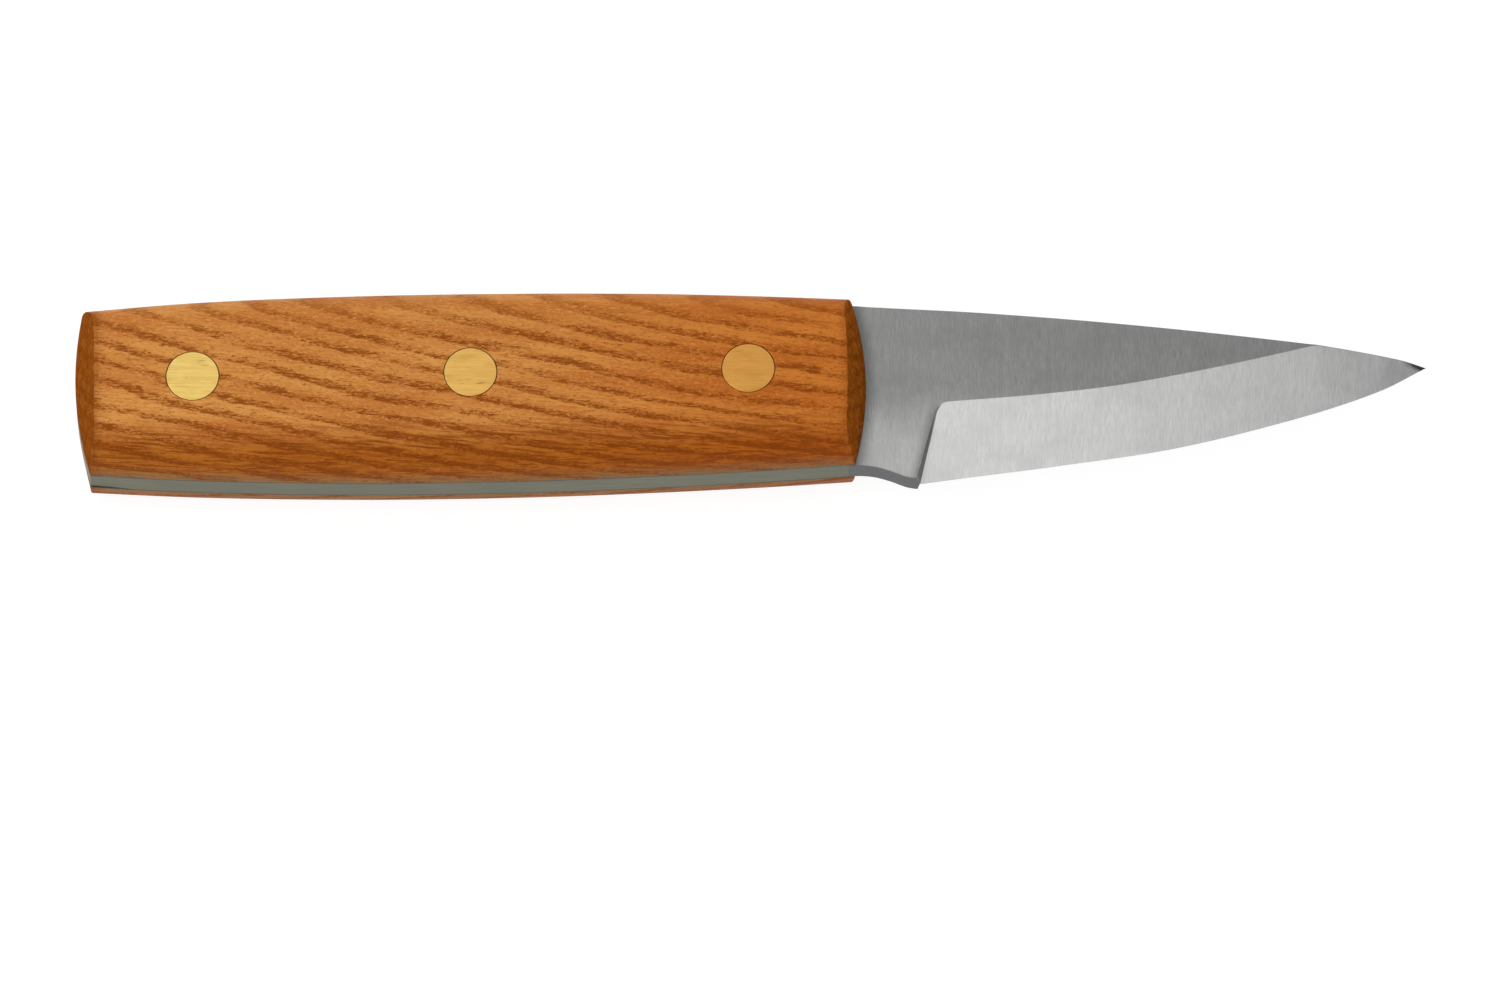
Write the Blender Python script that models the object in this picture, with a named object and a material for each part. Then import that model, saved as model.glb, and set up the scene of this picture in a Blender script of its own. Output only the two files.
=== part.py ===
"""Whittling knife with a fixed blade on a full tang and two pinned wooden scales.

The knife lies on its side: +X runs from the butt to the tip, +Y to the spine
and +Z up through the thickness. The origin is the centre of the middle pin's
lower end, which is flush with the flat side that the knife rests on.
Lengths here are in millimetres, and MM turns them to Blender's metres.
"""

import math
from collections import namedtuple

import bmesh
import bpy
from mathutils import Vector

MM = 0.001
COLLECTION_NAME = "whittling_knife"

# Driving dimensions
STEEL_THICKNESS = 3.2
HANDLE_THICKNESS = 14.5
PIN_DIAMETER = 6.35
PIN_PITCH = 33.5
GLUE_THICKNESS = 0.15
EDGE_THICKNESS = 0.1

# Gaps that keep the solids separate
FLAT_GAP = 0.03
PIN_GAP = 0.05

# Handle: each end is farthest out at (x, y). It bows outwards, by bow where it is
# half_height away, and leans in from the tang to the side faces.
HandleEnd = namedtuple("HandleEnd", "x y outwards bow_at_tang bow_at_side lean power")
BUTT = HandleEnd(-47.8, 2.0, -1, 1.3, 0.0, 2.4, 1.3)
FRONT = HandleEnd(47.7, 0.0, 1, 1.5, 0.5, 2.2, 1.2)
END_HALF_HEIGHT = 10.6
ROUNDING_MIDDLE = 4.3
ROUNDING_END = 3.5

# Outlines as (x, y) through which a smooth curve runs
HANDLE_TOP = ((-49.0, 10.2), (-33.0, 11.45), (-15.0, 12.05), (3.0, 12.15),
              (21.0, 11.85), (34.0, 11.3), (49.0, 10.4))
HANDLE_BELLY = ((-49.0, -10.3), (-33.0, -11.4), (-15.0, -12.02), (0.0, -12.13),
                (15.0, -11.9), (33.5, -11.21), (49.0, -10.35))
TIP = (115.35, 1.92)
SPINE = ((47.0, 10.5), (64.0, 9.23), (82.0, 7.29), (100.0, 4.86), (112.2, 2.83), TIP)
RICASSO_BELLY = ((46.6, -10.5), (48.6, -10.78), (50.4, -11.33), (52.2, -12.08),
                 (53.2, -12.33), (54.2, -12.42))
EDGE = ((54.2, -12.42), (62.0, -11.42), (70.0, -10.43), (85.0, -8.2), (100.0, -4.41),
        (109.7, -1.06), TIP)
GRIND = ((57.4, -2.3), (68.0, -1.55), (78.0, -0.45), (90.0, 1.75), (102.0, 4.45))

# The plunge cut runs from the heel up to the rounded start of the grind line
PLUNGE_FOOT = (53.55, -12.9)
PLUNGE_TOP = (55.95, -3.3)
PLUNGE_SETBACK = 0.3
PLUNGE_CORNER = (56.2, 56.7)
CORNER_SPREAD = 1.5

# Past the end of the grind line the bevel keeps one slope, as if it were this wide
BEVEL_WIDTH_NEAR_TIP = 8.2
PAST_TIP_X = 117.0

# How far the bevel's cutter reaches below the edge, above the grind line and sideways
CUT_BELOW_EDGE = 0.2
CUT_ABOVE_GRIND = 0.5
CUT_PAST_FLAT = 1.0

# The blade's flats become faces of their own from here to the tip
FLAT_START_X = 48.2

# How finely curves are cut into straight steps
SIDES_OF_PIN = 32
STATIONS_ALONG = 18
STEPS_ROUND = 6
STATIONS_AT_BUTT = 8
STATIONS_ON_BEVEL = 24
SMOOTH_BELOW = math.radians(40)
FLAT_WITHIN = math.radians(0.05)
WELD = 0.001

# The steel's outline after the butt, as stretches of (curve, from x, to x, steps)
STRETCHES = ((HANDLE_TOP, -45.0, 46.0, 20), (SPINE, 47.5, TIP[0], 21),
             (EDGE, 114.5, 54.6, 26), (RICASSO_BELLY, 54.0, 46.8, 12),
             (HANDLE_BELLY, 45.0, -45.0, 20))

STEEL_HALF = STEEL_THICKNESS / 2
HANDLE_HALF = HANDLE_THICKNESS / 2
FILM_INNER = STEEL_HALF + FLAT_GAP
FILM_OUTER = FILM_INNER + GLUE_THICKNESS
SCALE_INNER = FILM_OUTER + FLAT_GAP
MID_Z = HANDLE_HALF
PIN_PLACES = {"butt_pin": -PIN_PITCH, "middle_pin": 0.0, "front_pin": PIN_PITCH}

# Finishes as (colour, roughness, metallic)
STEEL = ((0.46, 0.46, 0.44, 1.0), 0.34, 1.0)
WOOD = ((0.47, 0.16, 0.03, 1.0), 0.5, 0.0)
BRASS = ((0.78, 0.50, 0.13, 1.0), 0.32, 1.0)
EPOXY = ((0.05, 0.03, 0.015, 1.0), 0.45, 0.0)


def clear_scene():
    for item in list(bpy.data.objects):
        bpy.data.objects.remove(item, do_unlink=True)


def new_collection(name):
    collection = bpy.data.collections.new(name)
    bpy.context.scene.collection.children.link(collection)
    return collection


def new_material(name, finish):
    colour, roughness, metallic = finish
    material = bpy.data.materials.new(name)
    material.use_nodes = True
    shader = material.node_tree.nodes["Principled BSDF"]
    shader.inputs["Base Color"].default_value = colour
    shader.inputs["Roughness"].default_value = roughness
    shader.inputs["Metallic"].default_value = metallic
    return material


def curve_y(points, x):
    """The height at x of a smooth curve through the points, with straight ends."""
    last = len(points) - 1
    slopes = []
    for index in range(last + 1):
        before = points[max(index - 1, 0)]
        after = points[min(index + 1, last)]
        slopes.append((after[1] - before[1]) / (after[0] - before[0]))
    if x <= points[0][0]:
        return points[0][1] + slopes[0] * (x - points[0][0])
    if x >= points[last][0]:
        return points[last][1] + slopes[last] * (x - points[last][0])
    index = max(i for i in range(last) if points[i][0] <= x)
    (x0, y0), (x1, y1) = points[index], points[index + 1]
    span = x1 - x0
    t = (x - x0) / span
    return ((1 + 2 * t) * (1 - t) ** 2 * y0 + t * (1 - t) ** 2 * span * slopes[index]
            + t * t * (3 - 2 * t) * y1 - t * t * (1 - t) * span * slopes[index + 1])


def spread(start, end, count):
    """count + 1 evenly spaced values from start to end."""
    return [start + (end - start) * step / count for step in range(count + 1)]


def part_of_scale(depth):
    """0 at the tang's face and 1 at the handle's side face."""
    return min(max(depth - STEEL_HALF, 0.0) / (HANDLE_HALF - STEEL_HALF), 1.0)


def end_x(y, depth, end):
    """Where an end of the handle stands at height y and at a distance from mid-plane."""
    part = part_of_scale(depth)
    bow = end.bow_at_tang * (1 - part) + end.bow_at_side * part
    inset = bow * ((y - end.y) / END_HALF_HEIGHT) ** 2 + end.lean * part ** end.power
    return end.x - end.outwards * inset


def rounding_inset(x, depth):
    """How far the rounded long edge has come in from the tang's outline."""
    reach = ROUNDING_MIDDLE - (ROUNDING_MIDDLE - ROUNDING_END) * (x / FRONT.x) ** 2
    return reach * (1 - math.sqrt(1 - part_of_scale(depth) ** 2))


def handle_point(along, across, depth):
    """A point of the handle: along 0 to 1 butt to front, across 0 to 1 belly to top."""
    x = BUTT.x + (FRONT.x - BUTT.x) * along
    for _ in range(3):
        low = curve_y(HANDLE_BELLY, x) + rounding_inset(x, depth)
        high = curve_y(HANDLE_TOP, x) - rounding_inset(x, depth)
        y = low + (high - low) * across
        butt = end_x(y, depth, BUTT)
        front = end_x(y, depth, FRONT)
        x = butt + (front - butt) * along
    return x, y


def face_outwards(bm):
    bmesh.ops.recalc_face_normals(bm, faces=bm.faces)
    if bm.calc_volume(signed=True) < 0:
        bmesh.ops.reverse_faces(bm, faces=bm.faces)


def add_mesh_object(name, bm, collection, material):
    face_outwards(bm)
    mesh = bpy.data.meshes.new(name)
    bm.to_mesh(mesh)
    bm.free()
    if material:
        mesh.materials.append(material)
    item = bpy.data.objects.new(name, mesh)
    collection.objects.link(item)
    return item


def slice_cube(bm, axis, values):
    """Cuts a cube that runs from 0 to 1 at each value between its ends."""
    normal = Vector((0, 0, 0))
    normal[axis] = 1.0
    for value in values:
        everything = bm.verts[:] + bm.edges[:] + bm.faces[:]
        bmesh.ops.bisect_plane(bm, geom=everything, plane_co=normal * value,
                               plane_no=normal)


def handle_slab(name, inner, outer, side, collection, material):
    """A slab of the handle between two distances from the tang's mid-plane."""
    bm = bmesh.new()
    bmesh.ops.create_cube(bm, size=1.0)
    bmesh.ops.translate(bm, verts=bm.verts, vec=(0.5, 0.5, 0.5))
    slice_cube(bm, 0, spread(0, 1, STATIONS_ALONG)[1:-1])
    slice_cube(bm, 1, spread(0, 1, STEPS_ROUND)[1:-1])
    if outer > FILM_OUTER:
        steps = [math.sin(math.pi / 2 * step / STEPS_ROUND) for step in range(1, STEPS_ROUND)]
        slice_cube(bm, 2, steps)
    for vertex in bm.verts:
        depth = inner + (outer - inner) * vertex.co.z
        x, y = handle_point(vertex.co.x, vertex.co.y, depth)
        vertex.co = Vector((x, y, MID_Z + side * depth)) * MM
    bmesh.ops.triangulate(bm, faces=bm.faces)
    return add_mesh_object(name, bm, collection, material)


def pin_shape(name, radius, length, x, collection, material=None):
    bm = bmesh.new()
    bmesh.ops.create_cone(bm, cap_ends=True, segments=SIDES_OF_PIN, radius1=radius * MM,
                          radius2=radius * MM, depth=length * MM)
    item = add_mesh_object(name, bm, collection, material)
    item.location = Vector((x, 0, MID_Z)) * MM
    item.data.shade_smooth()
    item.data.set_sharp_from_angle(angle=SMOOTH_BELOW)
    return item


def cut(item, cutter):
    boolean = item.modifiers.new(cutter.name, "BOOLEAN")
    boolean.operation = "DIFFERENCE"
    boolean.solver = "EXACT"
    boolean.object = cutter


def hide_cutters(collection):
    collection.hide_render = True
    for cutter in collection.objects:
        cutter.hide_render = True
        cutter.display_type = "WIRE"


def blade_outline():
    """The steel's outline: up over the top, out to the tip and back along the belly."""
    low = curve_y(HANDLE_BELLY, BUTT.x)
    high = curve_y(HANDLE_TOP, BUTT.x)
    points = [(end_x(y, 0, BUTT), y) for y in spread(low, high, STATIONS_AT_BUTT)]
    for curve, start, end, steps in STRETCHES:
        points.extend((x, curve_y(curve, x)) for x in spread(start, end, steps))
    return points


def plate(name, outline, thickness, collection, material):
    """A flat plate from a closed 2D curve that is filled and extruded."""
    curve = bpy.data.curves.new(name + "_outline", "CURVE")
    curve.dimensions = "2D"
    curve.fill_mode = "BOTH"
    curve.extrude = thickness / 2 * MM
    spline = curve.splines.new("POLY")
    spline.points.add(len(outline) - 1)
    for point, (x, y) in zip(spline.points, outline):
        point.co = (x * MM, y * MM, 0, 1)
    spline.use_cyclic_u = True
    guide = bpy.data.objects.new(name + "_outline", curve)
    guide.location.z = MID_Z * MM
    collection.objects.link(guide)
    bpy.context.view_layer.update()
    graph = bpy.context.evaluated_depsgraph_get()
    mesh = bpy.data.meshes.new_from_object(guide.evaluated_get(graph))
    mesh.name = name
    bm = bmesh.new()
    bm.from_mesh(mesh)
    bmesh.ops.remove_doubles(bm, verts=bm.verts, dist=WELD * MM)
    bmesh.ops.dissolve_limit(bm, angle_limit=FLAT_WITHIN, verts=bm.verts, edges=bm.edges)
    everything = bm.verts[:] + bm.edges[:] + bm.faces[:]
    bmesh.ops.bisect_plane(bm, geom=everything, plane_co=(FLAT_START_X * MM, 0, 0),
                           plane_no=(1, 0, 0))
    face_outwards(bm)
    bm.to_mesh(mesh)
    bm.free()
    mesh.materials.clear()
    mesh.materials.append(material)
    item = bpy.data.objects.new(name, mesh)
    item.matrix_world = guide.matrix_world
    bpy.data.objects.remove(guide, do_unlink=True)
    collection.objects.link(item)
    return item


def bevel_rungs():
    """Pairs of (edge point, grind point) along the bevel, from the plunge to the tip."""
    rungs = [(PLUNGE_FOOT, PLUNGE_TOP)]
    grind_x, grind_y = GRIND[0]
    for x in PLUNGE_CORNER:
        foot_x = PLUNGE_FOOT[0] + (x - PLUNGE_TOP[0]) * CORNER_SPREAD
        rise = math.sqrt((x - PLUNGE_TOP[0]) / (grind_x - PLUNGE_TOP[0]))
        top_y = PLUNGE_TOP[1] + (grind_y - PLUNGE_TOP[1]) * rise
        rungs.append(((foot_x, curve_y(EDGE, foot_x)), (x, top_y)))
    for x in spread(grind_x, PAST_TIP_X, STATIONS_ON_BEVEL):
        foot_y = curve_y(EDGE, x)
        near_tip = x > GRIND[-1][0]
        top_y = foot_y + BEVEL_WIDTH_NEAR_TIP if near_tip else curve_y(GRIND, x)
        rungs.append(((x, foot_y), (x, top_y)))
    return rungs


def bevel_cutter(name, side, collection):
    """The steel to grind away on one side: a loft between the edge and the grind line."""
    bm = bmesh.new()
    edge_z = EDGE_THICKNESS / 2
    outside = STEEL_HALF + CUT_PAST_FLAT
    rings = []
    for index, ((foot_x, foot_y), (top_x, top_y)) in enumerate(bevel_rungs()):
        back = PLUNGE_SETBACK if index == 0 else 0.0
        slope = (STEEL_HALF - edge_z) / (top_y - foot_y)
        lean = (top_x - foot_x) / (top_y - foot_y)
        low_x = foot_x - CUT_BELOW_EDGE * lean
        low_y = foot_y - CUT_BELOW_EDGE
        high_x = top_x + CUT_ABOVE_GRIND * lean
        high_y = top_y + CUT_ABOVE_GRIND
        section = (
            (low_x, low_y, edge_z - CUT_BELOW_EDGE * slope),
            (high_x, high_y, STEEL_HALF + CUT_ABOVE_GRIND * slope),
            (high_x - back, high_y, outside),
            (low_x - back, low_y, outside),
        )
        rings.append([bm.verts.new(Vector((x, y, MID_Z + side * z)) * MM)
                      for x, y, z in section])
    for before, after in zip(rings, rings[1:]):
        for corner in range(4):
            following = (corner + 1) % 4
            bm.faces.new((before[corner], before[following], after[following],
                          after[corner]))
    bm.faces.new(rings[0])
    bm.faces.new(rings[-1])
    bmesh.ops.triangulate(bm, faces=bm.faces)
    return add_mesh_object(name, bm, collection, None)


def build_knife():
    clear_scene()
    knife = new_collection(COLLECTION_NAME)
    cutters = new_collection("cutters")

    steel = new_material("stainless_steel", STEEL)
    wood = new_material("oiled_wood", WOOD)
    brass = new_material("brass", BRASS)
    epoxy = new_material("epoxy", EPOXY)

    blade = plate("blade_with_tang", blade_outline(), STEEL_THICKNESS, knife, steel)
    for label, side in (("bevel_up", 1), ("bevel_down", -1)):
        cut(blade, bevel_cutter(label, side, cutters))

    drilled = [blade]
    for label, side in (("upper", 1), ("lower", -1)):
        drilled.append(handle_slab(label + "_glue_film", FILM_INNER, FILM_OUTER, side,
                                   knife, epoxy))
        drilled.append(handle_slab(label + "_scale", SCALE_INNER, HANDLE_HALF, side,
                                   knife, wood))

    for label, x in PIN_PLACES.items():
        pin_shape(label, PIN_DIAMETER / 2, HANDLE_THICKNESS, x, knife, brass)
        hole = pin_shape(label + "_hole", PIN_DIAMETER / 2 + PIN_GAP,
                         HANDLE_THICKNESS + 2 * CUT_PAST_FLAT, x, cutters)
        for item in drilled:
            cut(item, hole)
    hide_cutters(cutters)


build_knife()
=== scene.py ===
"""Whittling knife: finished shapes, finishes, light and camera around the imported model.

The file is laid out as an add-on. Run as a script, it makes every piece in turn.
The knife lies on its side: +X runs from butt to tip, +Y to the spine, +Z is up.
Shapes are worked out in millimetres, and MM turns them to Blender's metres.
"""

import math
from collections import namedtuple
from functools import partial

import bmesh
import bpy
from bpy.props import FloatProperty, FloatVectorProperty, IntProperty, PointerProperty
from mathutils import Matrix, Vector


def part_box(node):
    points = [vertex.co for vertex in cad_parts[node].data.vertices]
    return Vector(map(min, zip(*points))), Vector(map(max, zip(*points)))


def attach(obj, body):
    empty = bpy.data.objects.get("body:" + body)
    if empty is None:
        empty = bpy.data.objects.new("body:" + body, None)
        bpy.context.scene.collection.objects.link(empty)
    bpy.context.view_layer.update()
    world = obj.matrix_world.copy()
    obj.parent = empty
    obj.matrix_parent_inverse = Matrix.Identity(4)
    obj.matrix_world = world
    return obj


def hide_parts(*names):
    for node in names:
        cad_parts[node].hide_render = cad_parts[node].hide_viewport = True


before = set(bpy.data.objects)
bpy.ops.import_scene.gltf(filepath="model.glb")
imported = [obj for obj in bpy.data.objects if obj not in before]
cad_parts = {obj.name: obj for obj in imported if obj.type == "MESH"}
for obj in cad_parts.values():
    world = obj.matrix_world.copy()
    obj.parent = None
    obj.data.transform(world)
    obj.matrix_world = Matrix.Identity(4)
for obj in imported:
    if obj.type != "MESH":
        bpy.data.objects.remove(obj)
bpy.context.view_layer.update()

bl_info = {
    "name": "Whittling knife",
    "version": (1, 0, 0),
    "blender": (4, 5, 0),
    "location": "3D View > Sidebar > Knife",
    "description": "Makes a full-tang whittling knife with pinned wooden scales",
    "category": "Object",
}

MM = 0.001
BODY = "root"


def node_box_mm(node):
    """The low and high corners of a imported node, in millimetres."""
    low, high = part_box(node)
    return low / MM, high / MM


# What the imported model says, in millimetres
BLADE_LOW, BLADE_HIGH = node_box_mm("blade_with_tang")
HANDLE_TOP_Z = node_box_mm("upper_scale")[1].z
PIN_LOW, PIN_HIGH = node_box_mm("middle_pin")
PIN_PITCH = node_box_mm("front_pin")[1].x - PIN_HIGH.x
MID_Z = (BLADE_LOW.z + BLADE_HIGH.z) / 2
STEEL_HALF = (BLADE_HIGH.z - BLADE_LOW.z) / 2
HANDLE_HALF = HANDLE_TOP_Z - MID_Z

# Handle: each end is farthest out at (x, y). It bows outwards, by bow where it is
# half_height away, and leans in from the tang to the side faces.
HandleEnd = namedtuple("HandleEnd", "x y outwards bow_at_tang bow_at_side lean power")
BUTT = HandleEnd(BLADE_LOW.x, 2.0, -1, 1.3, 0.0, 2.4, 1.3)
FRONT = HandleEnd(node_box_mm("upper_scale")[1].x, 0.0, 1, 1.5, 0.5, 2.2, 1.2)
END_HALF_HEIGHT = 10.6
ROUNDING_MIDDLE = 4.3
ROUNDING_END = 3.5

# Outlines as (x, y) through which a smooth curve runs
TIP = (115.35, 1.92)
HANDLE_TOP = ((-49.0, 10.2), (-33.0, 11.45), (-15.0, 12.05), (3.0, 12.15),
              (21.0, 11.85), (34.0, 11.3), (49.0, 10.4))
HANDLE_BELLY = ((-49.0, -10.3), (-33.0, -11.4), (-15.0, -12.02), (0.0, -12.13),
                (15.0, -11.9), (33.5, -11.21), (49.0, -10.35))
SPINE = ((47.0, 10.5), (64.0, 9.23), (82.0, 7.29), (100.0, 4.86), (112.2, 2.83), TIP)
RICASSO_BELLY = ((46.6, -10.5), (48.6, -10.78), (50.4, -11.33), (52.2, -12.08),
                 (53.2, -12.33), (54.2, -12.42))
EDGE = ((54.2, -12.42), (62.0, -11.42), (70.0, -10.43), (85.0, -8.2), (100.0, -4.41),
        (109.7, -1.06), TIP)
GRIND = ((57.4, -2.3), (68.0, -1.55), (78.0, -0.45), (90.0, 1.75), (102.0, 4.45))
GRIND_END_X = 102.0
GRIND_WIDTH_NEAR_TIP = 8.2
PLUNGE_HEEL = (53.7, -12.3)
PLUNGE_LEAN = math.radians(13.9)
PLUNGE_TOP_Y = -2.3
PLUNGE_TOP_RADIUS = 1.4
PLUNGE_WALL = 0.34
PLUNGE_WALL_SHARE = 0.975
PLUNGE_FILLET = 1.1

# Steel: half the cutting edge, how near the spine a narrow face belongs to it, how much
# of the tang's edge shows in front of the scales, and how far corners are broken
EDGE_HALF = 0.015
SPINE_BAND = 0.1
BARE_TANG = 1.9
TANG_CORNER = 0.01
BLADE_CORNER = 0.06

# Columns of the blade's mesh: upright up to TANG_END_X, leaning with the plunge, and
# upright again SETTLE_LENGTH past SETTLE_START. FULL_STEEL_X is where grinding may start
TANG_END_X = 47.0
FULL_STEEL_X = 50.0
BUTT_FADE_X = -40.0
SETTLE_START = 2.2
SETTLE_LENGTH = 18
CREST_IN_TANG = 0.45

# Wood: the fibres fall towards the blade, in degrees, and a year adds this much
FIBRE_SLOPE = -6.0
RING_WIDTH = 1.9


# ---------------------------------------------------------------- small helpers

def linear(code):
    """An sRGB hex colour as linear red, green, blue and alpha."""
    channels = [int(code[i:i + 2], 16) / 255 for i in (0, 2, 4)]
    return tuple(c / 12.92 if c <= 0.04045 else ((c + 0.055) / 1.055) ** 2.4
                 for c in channels) + (1.0,)


def blend(start, end, part):
    """A value part of the way from start to end."""
    return start + (end - start) * part


def smooth_step(value):
    """0 to 1 with a soft start and end, as the value goes from 0 to 1."""
    value = min(max(value, 0.0), 1.0)
    return value * value * (3 - 2 * value)


def spread(start, end, count):
    """count + 1 evenly spaced values from start to end."""
    return [blend(start, end, step / count) for step in range(count + 1)]


def curve_y(points, x):
    """The height at x of a smooth curve through the points, with straight ends."""
    last = len(points) - 1
    slopes = []
    for index in range(last + 1):
        before = points[max(index - 1, 0)]
        after = points[min(index + 1, last)]
        slopes.append((after[1] - before[1]) / (after[0] - before[0]))
    if x <= points[0][0]:
        return points[0][1] + slopes[0] * (x - points[0][0])
    if x >= points[last][0]:
        return points[last][1] + slopes[last] * (x - points[last][0])
    index = max(i for i in range(last) if points[i][0] <= x)
    (x0, y0), (x1, y1) = points[index], points[index + 1]
    span = x1 - x0
    t = (x - x0) / span
    return ((1 + 2 * t) * (1 - t) ** 2 * y0 + t * (1 - t) ** 2 * span * slopes[index]
            + t * t * (3 - 2 * t) * y1 - t * t * (1 - t) * span * slopes[index + 1])


def mesh_object(name, bm, materials, sharp_angle):
    """A new object from a bmesh in metres, facing outwards and shaded smooth."""
    bmesh.ops.recalc_face_normals(bm, faces=bm.faces)
    if bm.calc_volume(signed=True) < 0:
        bmesh.ops.reverse_faces(bm, faces=bm.faces)
    mesh = bpy.data.meshes.new(name)
    bm.to_mesh(mesh)
    bm.free()
    for material in materials:
        mesh.materials.append(material)
    item = bpy.data.objects.new(name, mesh)
    bpy.context.scene.collection.objects.link(item)
    mesh.shade_smooth()
    mesh.set_sharp_from_angle(angle=math.radians(sharp_angle))
    return item


def apply_modifiers(item, sharp_angle=None):
    """Turns what the modifiers make into the object's own mesh."""
    graph = bpy.context.evaluated_depsgraph_get()
    mesh = bpy.data.meshes.new_from_object(item.evaluated_get(graph))
    old = item.data
    item.modifiers.clear()
    item.data = mesh
    mesh.name = old.name
    bpy.data.meshes.remove(old)
    if sharp_angle:
        mesh.shade_smooth()
        mesh.set_sharp_from_angle(angle=math.radians(sharp_angle))


def drill_pin_holes(item, radius):
    """Cuts the three pin holes through a piece."""
    for step in (-1, 0, 1):
        bm = bmesh.new()
        bmesh.ops.create_cone(bm, cap_ends=True, segments=96, radius1=radius * MM,
                              radius2=radius * MM, depth=(HANDLE_HALF * 2 + 4) * MM)
        place = Vector((step * PIN_PITCH, 0, MID_Z)) * MM
        bmesh.ops.translate(bm, verts=bm.verts, vec=place)
        drill = mesh_object("drill", bm, [], 30)
        boolean = item.modifiers.new("hole", "BOOLEAN")
        boolean.operation = "DIFFERENCE"
        boolean.solver = "EXACT"
        boolean.object = drill
        bpy.context.view_layer.update()
        apply_modifiers(item)
        bpy.data.objects.remove(drill, do_unlink=True)


def finish_piece(item, slot, *nodes):
    """Hands a finished piece to the frame."""
    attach(item, BODY)
    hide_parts(*nodes)


# ---------------------------------------------------------------- materials

def add_node(tree, kind, inputs=(), **settings):
    """Adds a node with its settings, and gives its inputs values or links.

    The inputs come in the order of the sockets in use, or by name. It returns the first
    output in use.
    """
    node = tree.nodes.new(kind)
    for name, value in settings.items():
        setattr(node, name, value)
    if isinstance(inputs, dict):
        pairs = [(node.inputs[name], value) for name, value in inputs.items()]
    else:
        pairs = zip([socket for socket in node.inputs if socket.enabled], inputs)
    for socket, value in pairs:
        if isinstance(value, bpy.types.NodeSocket):
            tree.links.new(value, socket)
        elif value is not None:
            socket.default_value = value
    return next((socket for socket in node.outputs if socket.enabled), None)


def new_material(name):
    """A material, what adds a node to it, and the object's coordinates in millimetres."""
    material = bpy.data.materials.new(name)
    material.use_nodes = True
    add = partial(add_node, material.node_tree)
    place = add("ShaderNodeTexCoord").node.outputs["Object"]
    return material, add, add("ShaderNodeMapping", (place, None, None, (1 / MM,) * 3))


def set_shader(material, values):
    """Gives named inputs of the material's shader values or links."""
    shader = material.node_tree.nodes["Principled BSDF"]
    for name, value in values.items():
        if isinstance(value, bpy.types.NodeSocket):
            material.node_tree.links.new(value, shader.inputs[name])
        else:
            shader.inputs[name].default_value = value


def shade(colour, factor):
    """The same linear colour, lighter or darker."""
    return tuple(min(channel * factor, 1.0) for channel in colour[:3]) + (1.0,)


def pattern(add, place, size, detail=2.0, roughness=0.5, turn=0.0):
    """Random values in soft cells of this size in millimetres along X, Y and Z."""
    turned = add("ShaderNodeMapping", (place, None, (0.0, 0.0, math.radians(turn))))
    cells = add("ShaderNodeMapping", (turned, None, None, [1 / length for length in size]))
    return add("ShaderNodeTexNoise", (cells, 1.0, detail, roughness))


def layer(add, under, over, where, low, high, most=1.0):
    """Lays a colour over another one, as far as a pattern goes from low to high."""
    amount = add("ShaderNodeMapRange", (where, low, high, 0.0, most),
                 interpolation_type="SMOOTHSTEP")
    return add("ShaderNodeMix", (amount, under, over), data_type="RGBA")


def darker_tip(add, place, tint):
    """The very tip, drawn darker, most of all along the spine."""
    back = add("ShaderNodeMapping", (place, (-TIP[0] - 0.2, -TIP[1], -MID_Z)))
    turned = add("ShaderNodeMapping", (back, None, (0.0, 0.0, math.radians(16.0))))
    oval = add("ShaderNodeMapping", (turned, None, None, (1 / 3.0, 1 / 0.85, 0.0)))
    away = add("ShaderNodeVectorMath", (oval,), operation="LENGTH")
    ragged = pattern(add, place, (0.5, 1.2, 5.0), 3.0, 0.6)
    reach = add("ShaderNodeMath", (ragged, 0.5, away), operation="MULTIPLY_ADD")
    # Darker colour over the tip and along the spine near it
    return layer(add, tint, linear("40362F"), reach, 1.4, 0.75, 0.95)


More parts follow.
